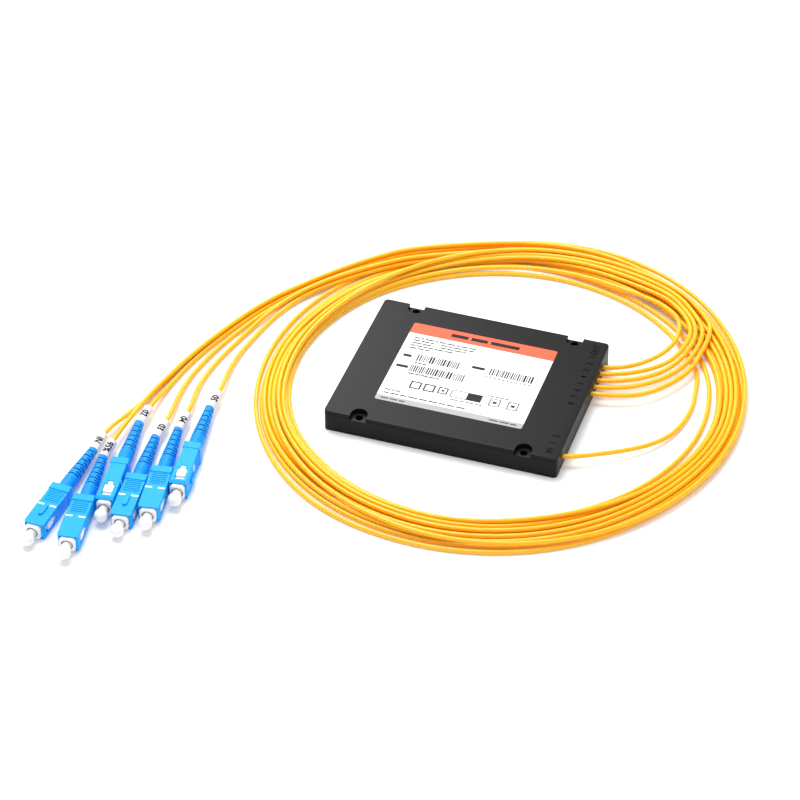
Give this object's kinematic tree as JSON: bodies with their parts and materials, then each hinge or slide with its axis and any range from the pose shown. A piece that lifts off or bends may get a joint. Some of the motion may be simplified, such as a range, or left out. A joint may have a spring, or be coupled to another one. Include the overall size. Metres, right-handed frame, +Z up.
{
  "type": "plc fibre splitter",
  "caption": "Flat ABS fibre splitter module with a coil of thin yellow cords that end in push-pull SC plugs with dust caps.",
  "frame": {"origin": "centre of the module's underside, on the surface it lies on", "axes": "+X along the module's long side towards the face the cords leave, +Z up out of the labelled face"},
  "size_m": [0.2565, 0.2591, 0.0101],
  "materials": {
    "case_abs": "fine moulded texture",
    "label_film": "smooth printed film",
    "clamp_epoxy": "cast",
    "tube_steel": "drawn",
    "seal_silicone": "matt",
    "silica": "polished",
    "fibre_coating": "smooth",
    "cord_jacket": "satin extruded",
    "frame_plastic": "satin moulded",
    "spring_steel": "bright",
    "post_metal": "nickel plated",
    "crimp_metal": "drawn",
    "boot_elastomer": "satin moulded",
    "sleeve_film": "smooth printed film",
    "grip_plastic": "satin moulded",
    "ferrule_ceramic": "ground",
    "cap_plastic": "soft translucent moulding"
  },
  "bodies": {
    "module": {"case_base": "case_abs", "case_lid": "case_abs", "face_label": "label_film", "output_cord_clamp": "clamp_epoxy", "input_cord_clamp": "clamp_epoxy", "chip_tube": "tube_steel", "tube_end_seals": "seal_silicone", "splitter_chip": "silica", "input_fibre_array": "silica", "output_fibre_array": "silica", "input_fibre": "fibre_coating", "output_fibres": "fibre_coating", "cord_coil": "cord_jacket", "cord_lead_in": "cord_jacket", "cord_lead_1": "cord_jacket", "cord_lead_2": "cord_jacket", "cord_lead_3": "cord_jacket", "cord_lead_4": "cord_jacket", "cord_lead_5": "cord_jacket", "cord_tail_in": "cord_jacket", "cord_tail_1": "cord_jacket", "cord_tail_2": "cord_jacket", "cord_tail_3": "cord_jacket", "cord_tail_4": "cord_jacket", "cord_tail_5": "cord_jacket", "back_posts": "post_metal", "crimp_rings": "crimp_metal", "boots": "boot_elastomer", "number_sleeves": "sleeve_film", "plug_frame_in": "frame_plastic", "plug_frame_1": "frame_plastic", "plug_frame_2": "frame_plastic", "plug_frame_3": "frame_plastic", "plug_frame_4": "frame_plastic", "plug_frame_5": "frame_plastic", "ferrule_spring_in": "spring_steel", "ferrule_spring_1": "spring_steel", "ferrule_spring_2": "spring_steel", "ferrule_spring_3": "spring_steel", "ferrule_spring_4": "spring_steel", "ferrule_spring_5": "spring_steel"},
    "grip_in": {"grip_in": "grip_plastic"},
    "ferrule_in": {"ferrule_in": "ferrule_ceramic"},
    "dust_cap_in": {"dust_cap_in": "cap_plastic"},
    "grip_1": {"grip_1": "grip_plastic"},
    "ferrule_1": {"ferrule_1": "ferrule_ceramic"},
    "dust_cap_1": {"dust_cap_1": "cap_plastic"},
    "grip_2": {"grip_2": "grip_plastic"},
    "ferrule_2": {"ferrule_2": "ferrule_ceramic"},
    "dust_cap_2": {"dust_cap_2": "cap_plastic"},
    "grip_3": {"grip_3": "grip_plastic"},
    "ferrule_3": {"ferrule_3": "ferrule_ceramic"},
    "dust_cap_3": {"dust_cap_3": "cap_plastic"},
    "grip_4": {"grip_4": "grip_plastic"},
    "ferrule_4": {"ferrule_4": "ferrule_ceramic"},
    "dust_cap_4": {"dust_cap_4": "cap_plastic"},
    "grip_5": {"grip_5": "grip_plastic"},
    "ferrule_5": {"ferrule_5": "ferrule_ceramic"},
    "dust_cap_5": {"dust_cap_5": "cap_plastic"}
  },
  "joints": [
    {"name": "grip_in_pull", "type": "slide", "parent": "module", "child": "grip_in", "axis": [0.061, 0.9981, 0], "range_m": [0, 0.002]},
    {"name": "ferrule_in_float", "type": "slide", "parent": "module", "child": "ferrule_in", "axis": [0.061, 0.9981, 0], "range_m": [0, 0.001], "stiffness_N_per_m": 800, "deforming": ["ferrule_spring_in"]},
    {"name": "dust_cap_in_pull_off", "type": "slide", "parent": "module", "child": "dust_cap_in", "axis": [-0.061, -0.9981, 0], "range_m": [0, 0.009]},
    {"name": "grip_1_pull", "type": "slide", "parent": "module", "child": "grip_1", "axis": [-0.1288, 0.9917, 0], "range_m": [0, 0.002]},
    {"name": "ferrule_1_float", "type": "slide", "parent": "module", "child": "ferrule_1", "axis": [-0.1288, 0.9917, 0], "range_m": [0, 0.001], "stiffness_N_per_m": 800, "deforming": ["ferrule_spring_1"]},
    {"name": "dust_cap_1_pull_off", "type": "slide", "parent": "module", "child": "dust_cap_1", "axis": [0.1288, -0.9917, 0], "range_m": [0, 0.009]},
    {"name": "grip_2_pull", "type": "slide", "parent": "module", "child": "grip_2", "axis": [-0.1219, 0.9925, 0], "range_m": [0, 0.002]},
    {"name": "ferrule_2_float", "type": "slide", "parent": "module", "child": "ferrule_2", "axis": [-0.1219, 0.9925, 0], "range_m": [0, 0.001], "stiffness_N_per_m": 800, "deforming": ["ferrule_spring_2"]},
    {"name": "dust_cap_2_pull_off", "type": "slide", "parent": "module", "child": "dust_cap_2", "axis": [0.1219, -0.9925, 0], "range_m": [0, 0.009]},
    {"name": "grip_3_pull", "type": "slide", "parent": "module", "child": "grip_3", "axis": [-0.1184, 0.993, 0], "range_m": [0, 0.002]},
    {"name": "ferrule_3_float", "type": "slide", "parent": "module", "child": "ferrule_3", "axis": [-0.1184, 0.993, 0], "range_m": [0, 0.001], "stiffness_N_per_m": 800, "deforming": ["ferrule_spring_3"]},
    {"name": "dust_cap_3_pull_off", "type": "slide", "parent": "module", "child": "dust_cap_3", "axis": [0.1184, -0.993, 0], "range_m": [0, 0.009]},
    {"name": "grip_4_pull", "type": "slide", "parent": "module", "child": "grip_4", "axis": [-0.1513, 0.9885, 0], "range_m": [0, 0.002]},
    {"name": "ferrule_4_float", "type": "slide", "parent": "module", "child": "ferrule_4", "axis": [-0.1513, 0.9885, 0], "range_m": [0, 0.001], "stiffness_N_per_m": 800, "deforming": ["ferrule_spring_4"]},
    {"name": "dust_cap_4_pull_off", "type": "slide", "parent": "module", "child": "dust_cap_4", "axis": [0.1513, -0.9885, 0], "range_m": [0, 0.009]},
    {"name": "grip_5_pull", "type": "slide", "parent": "module", "child": "grip_5", "axis": [-0.1253, 0.9921, 0], "range_m": [0, 0.002]},
    {"name": "ferrule_5_float", "type": "slide", "parent": "module", "child": "ferrule_5", "axis": [-0.1253, 0.9921, 0], "range_m": [0, 0.001], "stiffness_N_per_m": 800, "deforming": ["ferrule_spring_5"]},
    {"name": "dust_cap_5_pull_off", "type": "slide", "parent": "module", "child": "dust_cap_5", "axis": [0.1253, -0.9921, 0], "range_m": [0, 0.009]}
  ]
}
